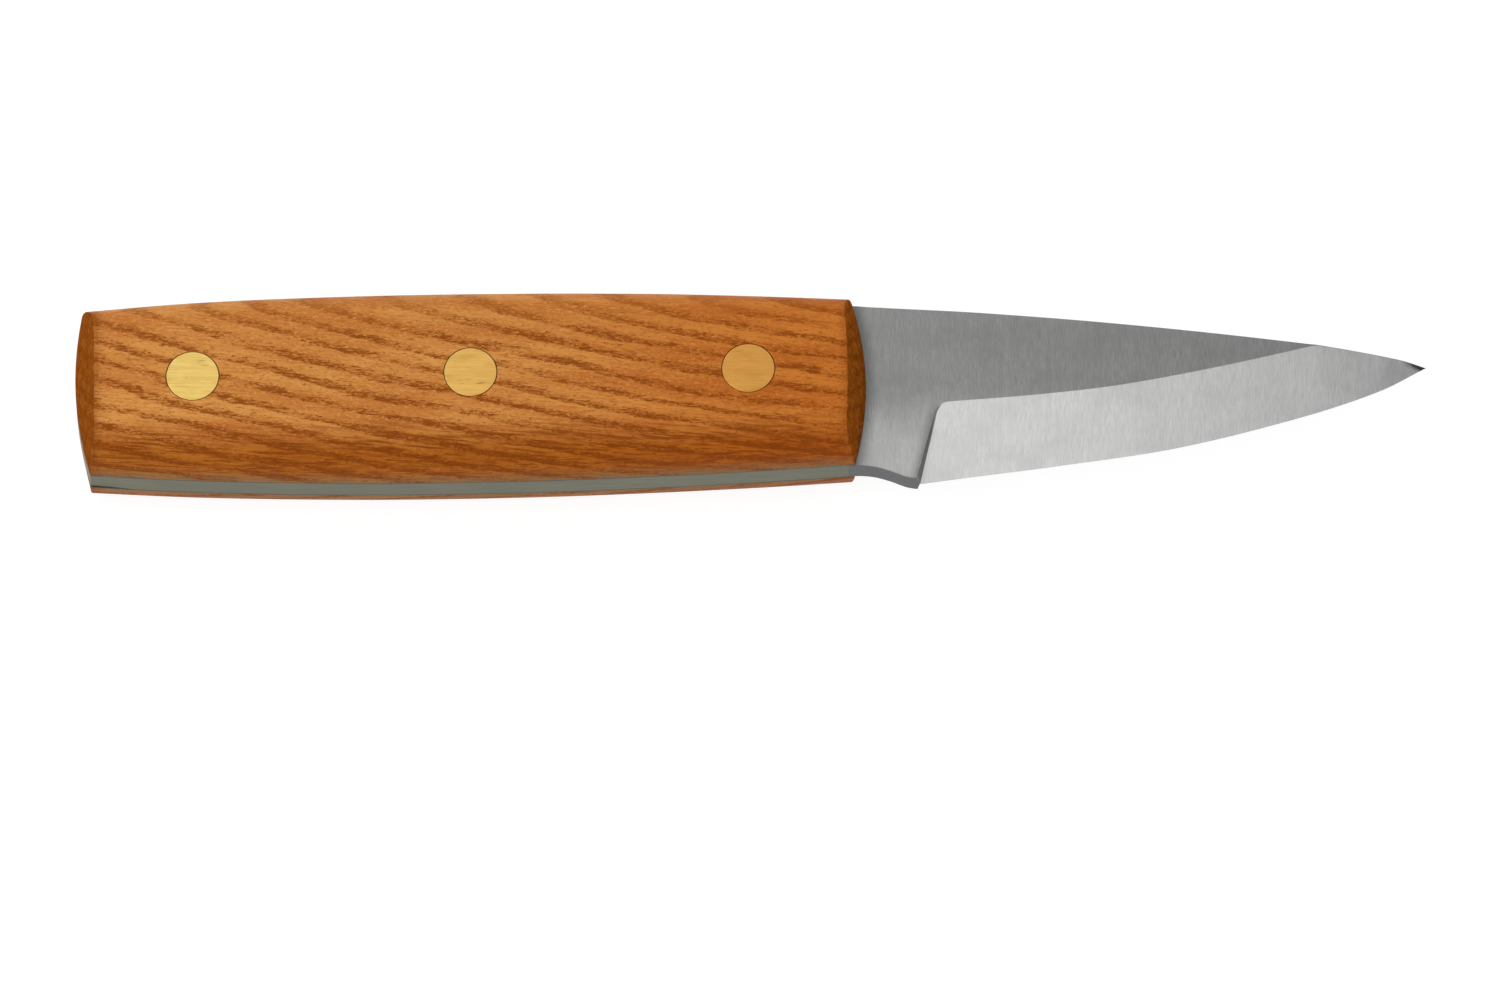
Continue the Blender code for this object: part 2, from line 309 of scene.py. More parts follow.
def painted_ricasso_light(add, place, tint):
    """The flats by the handle, painted brighter below and duller against the scales.

    The brightening below is a painted highlight, the dulling against the scales is painted
    shade, and the darkening in the corner at the plunge is a painted shadow.
    """
    x, y, _ = add("ShaderNodeSeparateXYZ", (place,)).node.outputs
    # Painted highlight: the flats get lighter towards the belly
    blotch = pattern(add, place, (1.6, 3.0, 40.0), 2.0, 0.6)
    height = add("ShaderNodeMath", (blotch, 2.5, y), operation="MULTIPLY_ADD")
    gain = add("ShaderNodeMapRange", (height, 1.2, -6.5, 1.0, 1.55),
               interpolation_type="SMOOTHSTEP")
    # Painted shade: the flats get duller close to the scales
    arch = add("ShaderNodeMath", (y, y), operation="MULTIPLY")
    from_scales = add("ShaderNodeMath", (arch, FRONT.bow_at_tang / END_HALF_HEIGHT ** 2, x),
                      operation="MULTIPLY_ADD")
    dull = add("ShaderNodeMapRange", (from_scales, FRONT.x + 1.9, FRONT.x - 0.4, 1.0, 0.5),
               interpolation_type="SMOOTHSTEP")
    gain = add("ShaderNodeMath", (gain, dull), operation="MULTIPLY")
    # Painted shadow in the corner at the plunge, below the grind line
    slant = math.tan(PLUNGE_LEAN)
    plunge_x = PLUNGE_HEEL[0] - slant * PLUNGE_HEEL[1]
    from_plunge = add("ShaderNodeMath", (y, -slant, x), operation="MULTIPLY_ADD")
    shadow = add("ShaderNodeMapRange", (from_plunge, plunge_x - 1.3, plunge_x, 0.0, 0.35),
                 interpolation_type="SMOOTHSTEP")
    below = add("ShaderNodeMapRange", (y, PLUNGE_TOP_Y, PLUNGE_TOP_Y - 2.0))
    shadow = add("ShaderNodeMath", (shadow, below), operation="MULTIPLY")
    left = add("ShaderNodeMath", (1.0, shadow), operation="SUBTRACT")
    gain = add("ShaderNodeMath", (gain, left), operation="MULTIPLY")
    return add("ShaderNodeVectorMath", {"Vector": tint, "Scale": gain}, operation="SCALE")


def ground_steel(name, colour, roughness, slant, by_handle):
    """Stainless steel ground on a fine belt across the blade.

    The belt leaves parallel scratches from spine to edge, so the metal looks satin,
    with light and dark hairlines, and softens reflections along the blade only.
    Belt scratches are about 0.05 mm wide. They are drawn 0.1 mm wide so as to show.
    """
    material, add, place = new_material(name)
    hair = pattern(add, place, (0.1, 1.5, 40.0), 4.0, 0.75, slant)
    broad = pattern(add, place, (0.7, 12.0, 40.0), 2.0, 0.5, slant)
    smudge = pattern(add, place, (6.0, 4.0, 40.0), 3.0, 0.6)
    lines = add("ShaderNodeMix", (0.15, hair, broad))
    tint = layer(add, shade(colour, 0.83), shade(colour, 1.13), lines, 0.3, 0.7)
    tint = layer(add, tint, shade(colour, 0.78), smudge, 0.42, 0.72, 0.4)
    # Painted highlight and painted shade on the flats by the handle
    if by_handle:
        tint = painted_ricasso_light(add, place, tint)
    rough = add("ShaderNodeMapRange", (lines, 0.25, 0.75, roughness - 0.06,
                                       roughness + 0.07))
    bump = add("ShaderNodeBump", {"Strength": 0.35, "Distance": 0.008 * MM,
                                  "Height": lines})
    set_shader(material, {"Base Color": darker_tip(add, place, tint), "Metallic": 1.0,
                          "Roughness": rough, "Normal": bump})
    return material


def edge_steel(name, colour, roughness):
    """The narrow faces of the steel, profiled on a coarse belt along their length.

    Their scratches run with the blade, and they stay duller and darker than the flats.
    """
    material, add, place = new_material(name)
    streak = pattern(add, place, (6.0, 6.0, 0.22), 3.0, 0.6)
    cloud = pattern(add, place, (11.0, 5.0, 5.0))
    tint = layer(add, shade(colour, 0.82), shade(colour, 1.15), streak, 0.3, 0.7)
    tint = layer(add, tint, shade(colour, 0.82), cloud, 0.35, 0.7, 0.4)
    rough = add("ShaderNodeMapRange", (streak, 0.2, 0.8, roughness - 0.07,
                                       roughness + 0.08))
    bump = add("ShaderNodeBump", {"Strength": 0.3, "Distance": 0.01 * MM,
                                  "Height": streak})
    set_shader(material, {"Base Color": darker_tip(add, place, tint), "Metallic": 0.75,
                          "Roughness": rough, "Normal": bump})
    return material


def sanded_brass(name, colour):
    """Solid brass rod, cut off and sanded flush with the wood along the handle.

    The sanding leaves straight lines, and a few deeper scratches hold dark dust.
    A painted lighting gradient makes the pins warmer and deeper in colour near the blade.
    Lines are about 0.05 mm wide. They are drawn 0.12 mm wide so as to show.
    """
    material, add, place = new_material(name)
    lines = pattern(add, place, (4.0, 0.12, 4.0), 3.0, 0.6, 2.0)
    cloud = pattern(add, place, (3.0, 1.2, 5.0))
    scratch = pattern(add, place, (2.2, 0.14, 3.0), 1.0, 0.5, -8.0)
    x = add("ShaderNodeSeparateXYZ", (place,))
    # Painted light: warmer, deeper brass towards the blade
    tint = layer(add, colour, linear("E0A050"), x, -1.3 * PIN_PITCH, 1.3 * PIN_PITCH)
    tint = layer(add, tint, linear("B08438"), lines, 0.35, 0.7, 0.32)
    tint = layer(add, tint, linear("A87A30"), cloud, 0.4, 0.75, 0.25)
    tint = layer(add, tint, linear("4A3210"), scratch, 0.70, 0.77, 0.6)
    rough = add("ShaderNodeMapRange", (lines, 0.25, 0.75, 0.28, 0.42))
    bump = add("ShaderNodeBump", {"Strength": 0.3, "Distance": 0.01 * MM,
                                  "Height": lines})
    set_shader(material, {"Base Color": tint, "Metallic": 1.0, "Roughness": rough,
                          "Normal": bump})
    return material


def cured_epoxy(name, colour):
    """Two-part epoxy darkened with sanding dust, seen only as a thin line.

    It cures glossy, and the sanding has left its edge dull and slightly mottled.
    """
    material, add, place = new_material(name)
    mottle = pattern(add, place, (0.8, 0.8, 0.8))
    tint = layer(add, colour, shade(colour, 1.8), mottle, 0.35, 0.7)
    set_shader(material, {"Base Color": tint, "Roughness": 0.5, "IOR": 1.55})
    return material


def growth_rings(add, board):
    """How porous the wood is, 0 to 1: full at the start of each year's ring.

    The rings lean across the fibres, bend, and wander along the board.
    """
    length, depth, _ = add("ShaderNodeSeparateXYZ", (board,)).node.outputs
    wander = pattern(add, board, (30.0, 7.0, 7.0))
    jitter = pattern(add, board, (3.5, 1.2, 1.2))
    patchy = pattern(add, board, (8.0, 1.6, 3.0), 2.0, 0.6)
    lean = add("ShaderNodeMath", (length, -0.0004, 0.10), operation="MULTIPLY_ADD")
    lean = add("ShaderNodeMath", (depth, 0.002, lean), operation="MULTIPLY_ADD")
    ring = add("ShaderNodeMath", (length, lean, depth), operation="MULTIPLY_ADD")
    ring = add("ShaderNodeMath", (wander, 2.6, ring), operation="MULTIPLY_ADD")
    ring = add("ShaderNodeMath", (jitter, 0.7, ring), operation="MULTIPLY_ADD")
    ring = add("ShaderNodeMath", (ring, RING_WIDTH), operation="DIVIDE")
    year = add("ShaderNodeMath", (ring,), operation="FRACT")
    start = add("ShaderNodeMapRange", (year, 0.0, 0.16), interpolation_type="SMOOTHSTEP")
    stop = add("ShaderNodeMapRange", (year, 0.3, 0.68, 1.0, 0.0),
               interpolation_type="SMOOTHSTEP")
    early = add("ShaderNodeMath", (start, stop), operation="MULTIPLY")
    fullness = add("ShaderNodeMapRange", (patchy, 0.3, 0.6, 0.4, 1.0),
                   interpolation_type="SMOOTHSTEP")
    return add("ShaderNodeMath", (early, fullness), operation="MULTIPLY")


def oiled_wood(name, colours, shift, ring_tilt):
    """Ring-porous hardwood such as elm or ash, sanded and oiled.

    Each year starts with a band of wide pores, which fill with oil and dust and show
    as short dark dashes along the fibres. The late wood between is dense and golden.
    The bands cross the fibres at a small angle, so the dashes lie in steps.
    The handle's ends cut across the fibres, drink more oil and go darker. Painted shade
    makes the belly and the wood towards the blade darker, and a painted reflection greys
    the belly next to the tang.
    Pores are drawn 0.14 to 0.32 mm wide and rings 1.9 mm thick, about their real size.
    """
    golden, orange, brown, pore_colour = colours
    material, add, place = new_material(name)
    turn = (Matrix.Rotation(math.radians(FIBRE_SLOPE), 3, "Z")
            @ Matrix.Rotation(math.radians(ring_tilt), 3, "X"))
    board = add("ShaderNodeMapping", (place, shift, turn.inverted().to_euler()))
    crowd = growth_rings(add, board)

    # Pores: ragged dashes of three sizes, crowded in the early wood
    pores = 0.0
    dash_kinds = ((1.9, 0.32, 0.67, 0.155), (1.0, 0.23, 0.655, 0.165),
                  (0.5, 0.14, 0.625, 0.14))
    for long_mm, wide_mm, least, gain in dash_kinds:
        grain = pattern(add, board, (long_mm, wide_mm, wide_mm), 2.0, 0.6)
        level = add("ShaderNodeMath", (crowd, gain, grain), operation="MULTIPLY_ADD")
        dashes = add("ShaderNodeMapRange", (level, least - 0.02, least + 0.11),
                     interpolation_type="SMOOTHSTEP")
        pores = add("ShaderNodeMath", (pores, dashes), operation="MAXIMUM")
    x, y, z = add("ShaderNodeSeparateXYZ", (place,)).node.outputs
    filling = pattern(add, board, (1.5, 0.5, 0.5), 2.0, 0.6)
    filling = add("ShaderNodeMapRange", (filling, 0.3, 0.6, 0.7, 1.0))
    pores = add("ShaderNodeMath", (pores, filling), operation="MULTIPLY")
    polish = add("ShaderNodeMapRange", (y, 4.5, 9.5, 1.0, 0.5))
    pores = add("ShaderNodeMath", (pores, polish), operation="MULTIPLY")

    # Colour of the wood between the pores
    fibres = pattern(add, board, (4.0, 0.16, 0.16), 4.0, 0.65)
    flecks = pattern(add, board, (1.1, 0.3, 0.3), 2.0, 0.6)
    glints = pattern(add, board, (0.55, 0.26, 0.26), 2.0, 0.6)
    patches = pattern(add, board, (22.0, 4.0, 4.0))
    tint = layer(add, golden, orange, patches, 0.36, 0.66)
    tint = layer(add, tint, brown, crowd, 0.0, 1.0, 0.6)
    tint = layer(add, tint, brown, fibres, 0.42, 0.75, 0.7)
    tint = layer(add, tint, brown, flecks, 0.48, 0.72, 0.65)
    tint = layer(add, tint, golden, fibres, 0.45, 0.22, 0.3)
    tint = layer(add, tint, linear("E09C54"), glints, 0.5, 0.72, 0.75)

    # Painted shade towards the blade and at the belly, and a painted grey reflection by the
    # tang
    # Painted shade: the wood darkens towards the blade
    shade_towards_blade = add("ShaderNodeMix", (1.0, tint, linear("F4DAB2")), data_type="RGBA",
                  blend_type="MULTIPLY")
    tint = layer(add, tint, shade_towards_blade, x, -5.0, 44.0)
    # Painted shade: the belly side darkens
    belly_shade = add("ShaderNodeMix", (1.0, tint, linear("DABC80")), data_type="RGBA",
                 blend_type="MULTIPLY")
    tint = layer(add, tint, belly_shade, y, -5.5, -10.5)
    grooves = pattern(add, board, (7.0, 0.3, 0.3), 2.0, 0.6)
    grooves = layer(add, tint, pore_colour, grooves, 0.46, 0.64, 0.85)
    tint = layer(add, tint, grooves, y, -5.0, -9.0)
    # Painted reflection: a grey sheen on the belly next to the tang
    from_tang = add("ShaderNodeMath", (z, MID_Z), operation="SUBTRACT")
    from_tang = add("ShaderNodeMath", (from_tang,), operation="ABSOLUTE")
    painted_grey_sheen = add("ShaderNodeMath", (glints, 1.5, from_tang), operation="MULTIPLY_ADD")
    painted_grey_sheen = layer(add, tint, linear("867650"), painted_grey_sheen, STEEL_HALF + 3.6, STEEL_HALF + 0.8,
                  0.6)
    tint = layer(add, tint, painted_grey_sheen, y, -6.0, -8.0)

    # End grain: where the surface cuts across the fibres
    facing = add("ShaderNodeTexCoord").node.outputs["Normal"]
    fibre_way = Vector((math.cos(math.radians(FIBRE_SLOPE)),
                        math.sin(math.radians(FIBRE_SLOPE)), 0.0))
    end_on = add("ShaderNodeVectorMath", (facing, fibre_way), operation="DOT_PRODUCT")
    end_on = add("ShaderNodeMath", (end_on,), operation="ABSOLUTE")
    mottle = pattern(add, place, (0.6, 0.9, 0.9), 4.0, 0.7)
    end_on = add("ShaderNodeMath", (mottle, 0.25, end_on), operation="MULTIPLY_ADD")
    dark_end = layer(add, linear("74380C"), linear("A85E1C"), mottle, 0.25, 0.75)
    # The end grain is drawn lighter at the front end than at the butt
    end_lighter_at_front = add("ShaderNodeMapRange", (x, 0.0, FRONT.x, 0.95, 1.35))
    dark_end = add("ShaderNodeVectorMath", {"Vector": dark_end, "Scale": end_lighter_at_front},
                   operation="SCALE")
    tint = layer(add, tint, dark_end, end_on, 0.42, 0.85, 0.9)
    out = add("ShaderNodeMath", (x,), operation="ABSOLUTE")
    out = add("ShaderNodeMath", (fibres, 2.2, out), operation="MULTIPLY_ADD")
    tint = layer(add, tint, dark_end, out, FRONT.x - FRONT.lean - 0.4,
                 FRONT.x - FRONT.lean + 1.4, 0.7)
    tint = layer(add, tint, pore_colour, pores, 0.0, 1.0, 0.9)

    sheen = add("ShaderNodeMapRange", (fibres, 0.2, 0.8, 0.42, 0.54))
    rough = add("ShaderNodeMath", (pores, 0.25, sheen), operation="MULTIPLY_ADD")
    gloss = add("ShaderNodeMapRange", (end_on, 0.3, 0.7, 0.06, 0.0))
    raised = add("ShaderNodeMath", (fibres, 0.25), operation="MULTIPLY")
    surface = add("ShaderNodeMath", (raised, pores), operation="SUBTRACT")
    bump = add("ShaderNodeBump", {"Strength": 0.5, "Distance": 0.05 * MM,
                                  "Height": surface})
    set_shader(material, {"Base Color": tint, "Roughness": rough, "IOR": 1.47,
                          "Specular IOR Level": gloss, "Normal": bump})
    return material


# ---------------------------------------------------------------- handle shapes

def part_of_scale(depth):
    """0 at the tang's face and 1 at the handle's side face."""
    return min(max(depth - STEEL_HALF, 0.0) / (HANDLE_HALF - STEEL_HALF), 1.0)


def end_x(y, depth, end):
    """Where an end of the handle stands at height y and at a distance from mid-plane."""
    part = part_of_scale(depth)
    bow = blend(end.bow_at_tang, end.bow_at_side, part)
    inset = bow * ((y - end.y) / END_HALF_HEIGHT) ** 2 + end.lean * part ** end.power
    return end.x - end.outwards * inset


def rounding_inset(x, depth):
    """How far the rounded long edge has come in from the tang's outline."""
    reach = blend(ROUNDING_MIDDLE, ROUNDING_END, (x / FRONT.x) ** 2)
    return reach * (1 - math.sqrt(1 - part_of_scale(depth) ** 2))


def handle_point(along, across, depth):
    """A point of the handle: along 0 to 1 butt to front, across 0 to 1 belly to top."""
    x = blend(BUTT.x, FRONT.x, along)
    for _ in range(3):
        low = curve_y(HANDLE_BELLY, x) + rounding_inset(x, depth)
        high = curve_y(HANDLE_TOP, x) - rounding_inset(x, depth)
        y = blend(low, high, across)
        x = blend(end_x(y, depth, BUTT), end_x(y, depth, FRONT), along)
    return x, y


def divided_cube(cuts):
    """A cube from 0 to 1, its edges along X, Y and Z cut into that many pieces."""
    bm = bmesh.new()
    bmesh.ops.create_cube(bm, size=1.0)
    bmesh.ops.translate(bm, verts=bm.verts, vec=(0.5, 0.5, 0.5))
    for axis, count in enumerate(cuts):
        if count < 2:
            continue
        along = [edge for edge in bm.edges
                 if abs((edge.verts[1].co - edge.verts[0].co)[axis]) > 0.5]
        bmesh.ops.subdivide_edges(bm, edges=along, cuts=count - 1, use_grid_fill=True)
    return bm


def handle_slab(name, inner, outer, side, cuts, material):
    """A slab of the handle between two distances from the tang's mid-plane."""
    bm = divided_cube(cuts)
    weight = bm.edges.layers.float.new("bevel_weight_edge")
    for edge in bm.edges:
        low, high = edge.verts[0].co, edge.verts[1].co
        at_end = all(min(v.x, 1 - v.x) < 1e-5 for v in (low, high))
        at_rim = any(all(abs(v[axis] - value) < 1e-5 for v in (low, high))
                     for axis, value in ((1, 0), (1, 1), (2, 1)))
        if at_end and at_rim and cuts[2] > 1:
            edge[weight] = 1.0
    for vertex in bm.verts:
        lift = math.sin(math.pi / 2 * vertex.co.z) if cuts[2] > 1 else vertex.co.z
        depth = blend(inner, outer, lift)
        x, y = handle_point(vertex.co.x, vertex.co.y, depth)
        vertex.co = Vector((x, y, MID_Z + side * depth)) * MM
    return mesh_object(name, bm, [material], 35)


# ---------------------------------------------------------------- blade shape

def belly_y(x):
    """Lower outline of the steel: under the handle, then the ricasso, then the edge."""
    if x < RICASSO_BELLY[0][0]:
        return curve_y(HANDLE_BELLY, x)
    if x < EDGE[0][0]:
        return curve_y(RICASSO_BELLY, x)
    return curve_y(EDGE, x)


def spine_y(x):
    """Upper outline of the steel: above the handle, then the spine."""
    return curve_y(HANDLE_TOP if x < SPINE[0][0] else SPINE, x)


def grind_y(x):
    """The line where the flat ends and the bevel starts, also past the spine."""
    if x > GRIND_END_X:
        return curve_y(EDGE, x) + GRIND_WIDTH_NEAR_TIP
    return curve_y(GRIND, x)


def plunge_offset(y):
    """How far the plunge's start lies towards the tip from its heel, at a height."""
    y = min(y, PLUNGE_TOP_Y)
    into_corner = max(PLUNGE_TOP_RADIUS - (PLUNGE_TOP_Y - y), 0.0)
    corner = PLUNGE_TOP_RADIUS - math.sqrt(PLUNGE_TOP_RADIUS ** 2 - into_corner ** 2)
    return math.tan(PLUNGE_LEAN) * (y - PLUNGE_HEEL[1]) + corner


def past_plunge(x, y):
    """Distance of a point from the plunge cut's slanting start, towards the tip."""
    return (x - PLUNGE_HEEL[0] - plunge_offset(y)) * math.cos(PLUNGE_LEAN)


def plunge_part(distance):
    """How much of the bevel's depth is reached: a steep wall, then a hollow fillet."""
    if distance <= 0:
        return 0.0
    wall = PLUNGE_WALL_SHARE * smooth_step(distance / PLUNGE_WALL)
    rest = 1 - min(distance / PLUNGE_FILLET, 1.0)
    fillet = (1 - PLUNGE_WALL_SHARE) * (1 - rest ** 2)
    return min(wall + fillet, 1.0)


def half_thickness(x, y):
    """Half the steel's thickness at a point of its outline."""
    low = curve_y(EDGE, x)
    high = grind_y(x)
    cut = min(max((high - y) / (high - low), 0.0), 1.0) * (STEEL_HALF - EDGE_HALF)
    return STEEL_HALF - cut * plunge_part(past_plunge(x, y))


def blade_columns():
    """(foot x, share) of the mesh's columns: they follow the plunge's slant by a share."""
    heel_x = PLUNGE_HEEL[0]
    columns = [(x, 0.0) for x in spread(BUTT.x, TANG_END_X, 60)]
    for x in spread(TANG_END_X + 0.4, heel_x - 0.15, 22):
        columns.append((x, smooth_step((x - TANG_END_X) / (heel_x - TANG_END_X))))
    steps = [0.0, 0.03, 0.07, 0.12, 0.17, 0.22, 0.27, 0.32, 0.4, 0.5, 0.62, 0.76, 0.92,
             1.1, 1.35, 1.7]
    columns.extend((heel_x + step / math.cos(PLUNGE_LEAN), 1.0) for step in steps)
    settle_x = heel_x + SETTLE_START
    for x in spread(settle_x, 114.6, 120):
        columns.append((x, 1 - smooth_step((x - settle_x) / SETTLE_LENGTH)))
    columns.extend((x, 0.0) for x in (114.9, 115.1, 115.25, TIP[0]))
    return columns


def blade_column(foot_x, share):
    """Points (x, y, half thickness) of one column from the belly to the spine."""
    foot = belly_y(foot_x)
    crest_x = foot_x + share * plunge_offset(PLUNGE_TOP_Y)
    top = spine_y(crest_x)
    if foot_x > TANG_END_X:
        crest = min(grind_y(crest_x), top)
    else:
        crest = blend(foot, top, CREST_IN_TANG)
    butt_fade = smooth_step((BUTT_FADE_X - foot_x) / (BUTT_FADE_X - BUTT.x))
    out_of_scales = smooth_step((foot_x - TANG_END_X - 0.2) / 0.5)
    soften = blend(TANG_CORNER, BLADE_CORNER, out_of_scales)
    below = [blend(foot, crest, blend(v, smooth_step(v), 0.8)) for v in spread(0, 1, 32)]
    above = [blend(crest, top, v) for v in spread(0, 1, 10)][1:]
    rows = []
    for y in below + above:
        x = foot_x + share * (plunge_offset(y) - plunge_offset(foot))
        x += butt_fade * (end_x(y, 0, BUTT) - BUTT.x)
        rows.append([x, y, half_thickness(x, y) if x > FULL_STEEL_X else STEEL_HALF])
    for row, inward in ((0, 1), (-1, -1)):
        x, y, half = rows[row]
        edge = min(soften, half * 0.35)
        inner = [x, y + inward * edge, half]
        wall = [x, y, half - edge]
        if row == 0:
            rows[0:1] = [wall, inner]
        else:
            rows[-1:] = [inner, wall]
    return rows


def blade_mesh(materials):
    """The blade and tang as a loft of closed rings, one for each column."""
    bm = bmesh.new()
    rings = []
    for foot_x, share in blade_columns():
        rows = blade_column(foot_x, share)
        up = [bm.verts.new(Vector((x, y, MID_Z + half)) * MM) for x, y, half in rows]
        down = [bm.verts.new(Vector((x, y, MID_Z - half)) * MM) for x, y, half in rows]
        rings.append((up, down))
    for (up, down), (next_up, next_down) in zip(rings, rings[1:]):
        for row in range(len(up) - 1):
            bm.faces.new((up[row], next_up[row], next_up[row + 1], up[row + 1]))
            bm.faces.new((down[row], down[row + 1], next_down[row + 1], next_down[row]))
        for row in (0, -1):
            bm.faces.new((up[row], down[row], next_down[row], next_up[row]))
    for up, down in (rings[0], rings[-1]):
        for row in range(len(up) - 1):
            bm.faces.new((up[row], up[row + 1], down[row + 1], down[row]))
    bmesh.ops.remove_doubles(bm, verts=bm.verts, dist=0.004 * MM)
    bmesh.ops.dissolve_degenerate(bm, edges=bm.edges, dist=0.001 * MM)
    bmesh.ops.recalc_face_normals(bm, faces=bm.faces)
    for face in bm.faces:
        face.material_index = blade_finish(face)
    return mesh_object("ground_blade", bm, materials, 7.5)


def blade_finish(face):
    """Which finish a face has: 0 flat, 1 bevel, 2 bare edge, 3 edge between scales."""
    centre = face.calc_center_median() / MM
    narrow = abs(face.normal.z) < 0.6
    ground = past_plunge(centre.x, centre.y)
    reach = PLUNGE_WALL if abs(face.normal.y) > 0.9 else 0.05
    if narrow and ground < reach:
        return 2 if centre.x > FRONT.x - BARE_TANG else 3
    spine_start = spine_y(centre.x) - SPINE_BAND
    if narrow and centre.y > min(grind_y(centre.x), spine_start):
        return 2
    if centre.y < grind_y(centre.x) and ground > 0:
        return 1
    return 0


# ---------------------------------------------------------------- pins

def pin_tree(material):
    """Geometry nodes for a row of rods with broken edges."""
    tree = bpy.data.node_groups.new("row_of_pins", "GeometryNodeTree")
    for name, kind, value in (("Radius", "NodeSocketFloat", 0.003),
                              ("Length", "NodeSocketFloat", 0.01),
                              ("Edge break", "NodeSocketFloat", 0.0001),
                              ("Pitch", "NodeSocketFloat", 0.03),
                              ("Count", "NodeSocketInt", 3),
                              ("Height", "NodeSocketFloat", 0.0)):
        socket = tree.interface.new_socket(name, in_out="INPUT", socket_type=kind)
        socket.default_value = value
    tree.interface.new_socket("Geometry", in_out="OUTPUT", socket_type="NodeSocketGeometry")
    add = partial(add_node, tree)
    given = add("NodeGroupInput").node.outputs
    edge_break = given["Edge break"]

    two_breaks = add("ShaderNodeMath", (edge_break, 2.0), operation="MULTIPLY")
    barrel = add("ShaderNodeMath", (given["Length"], two_breaks), operation="SUBTRACT")
    rod = add("GeometryNodeMeshCylinder",
              {"Vertices": 96, "Side Segments": 8, "Radius": given["Radius"],
               "Depth": barrel}, fill_type="NGON").node.outputs
    mesh = rod["Mesh"]
    ends = add("FunctionNodeBooleanMath", (rod["Top"], rod["Bottom"]), operation="OR")
    half_break = add("ShaderNodeMath", (edge_break, 0.5), operation="MULTIPLY")
    for inset in (0.4, 0.9):
        raised = add("GeometryNodeExtrudeMesh",
                     {"Mesh": mesh, "Selection": ends, "Offset Scale": half_break,
                      "Individual": False}, mode="FACES").node.outputs
        inward = add("ShaderNodeMath", (edge_break, inset), operation="MULTIPLY")
        share = add("ShaderNodeMath", (inward, given["Radius"]), operation="DIVIDE")
        factor = add("ShaderNodeMath", (1.0, share), operation="SUBTRACT")
        mesh = add("GeometryNodeScaleElements",
                   {"Geometry": raised["Mesh"], "Selection": raised["Top"],
                    "Scale": factor}, domain="FACE")
        ends = raised["Top"]

    steps = add("ShaderNodeMath", (given["Count"], 1.0), operation="SUBTRACT")
    span = add("ShaderNodeMath", (given["Pitch"], steps), operation="MULTIPLY")
    first = add("ShaderNodeMath", (span, -0.5), operation="MULTIPLY")
    start = add("ShaderNodeCombineXYZ", (first, 0.0, given["Height"]))
    step = add("ShaderNodeCombineXYZ", (given["Pitch"],))
    row = add("GeometryNodeMeshLine", {"Count": given["Count"], "Start Location": start,
                                       "Offset": step}, mode="OFFSET")
    copies = add("GeometryNodeInstanceOnPoints", {"Points": row, "Instance": mesh})
    real = add("GeometryNodeRealizeInstances", {"Geometry": copies})
    finished = add("GeometryNodeSetMaterial", {"Geometry": real, "Material": material})
    add("NodeGroupOutput", {"Geometry": finished})
    return tree


def set_input(modifier, name, value):
    """Sets a geometry nodes input by its socket's identifier."""
    for socket in modifier.node_group.interface.items_tree:
        if socket.name == name and socket.in_out == "INPUT":
            modifier[socket.identifier] = value
            return
    raise ValueError(f"no input named {name}")


# ---------------------------------------------------------------- settings

class KnifeSizes(bpy.types.PropertyGroup):
    """Sizes that a user may change"""

    pin_radius: FloatProperty(
        name="Pin radius", description="Radius of the brass rod", unit="LENGTH",
        subtype="DISTANCE", precision=5, default=(PIN_HIGH.y - PIN_LOW.y) / 2 * MM)
    pin_gap: FloatProperty(
        name="Pin gap", description="Dark ring between a pin and the wood",
        unit="LENGTH", subtype="DISTANCE", precision=6, default=0.00008)
    pin_edge_break: FloatProperty(
        name="Pin edge break", description="Rounding of the pins' rims", unit="LENGTH",
        subtype="DISTANCE", precision=6, default=0.00004)
    pin_count: IntProperty(
        name="Pins", description="How many pins hold the scales", default=3, min=1)
    crease_width: FloatProperty(
        name="Crease width", description="Rounding where the handle's ends meet its sides",
        unit="LENGTH", subtype="DISTANCE", precision=5, default=0.0008)
    glue_line: FloatProperty(
        name="Glue line", description="Thickness of the adhesive at each scale",
        unit="LENGTH", subtype="DISTANCE", precision=6, default=0.00019)


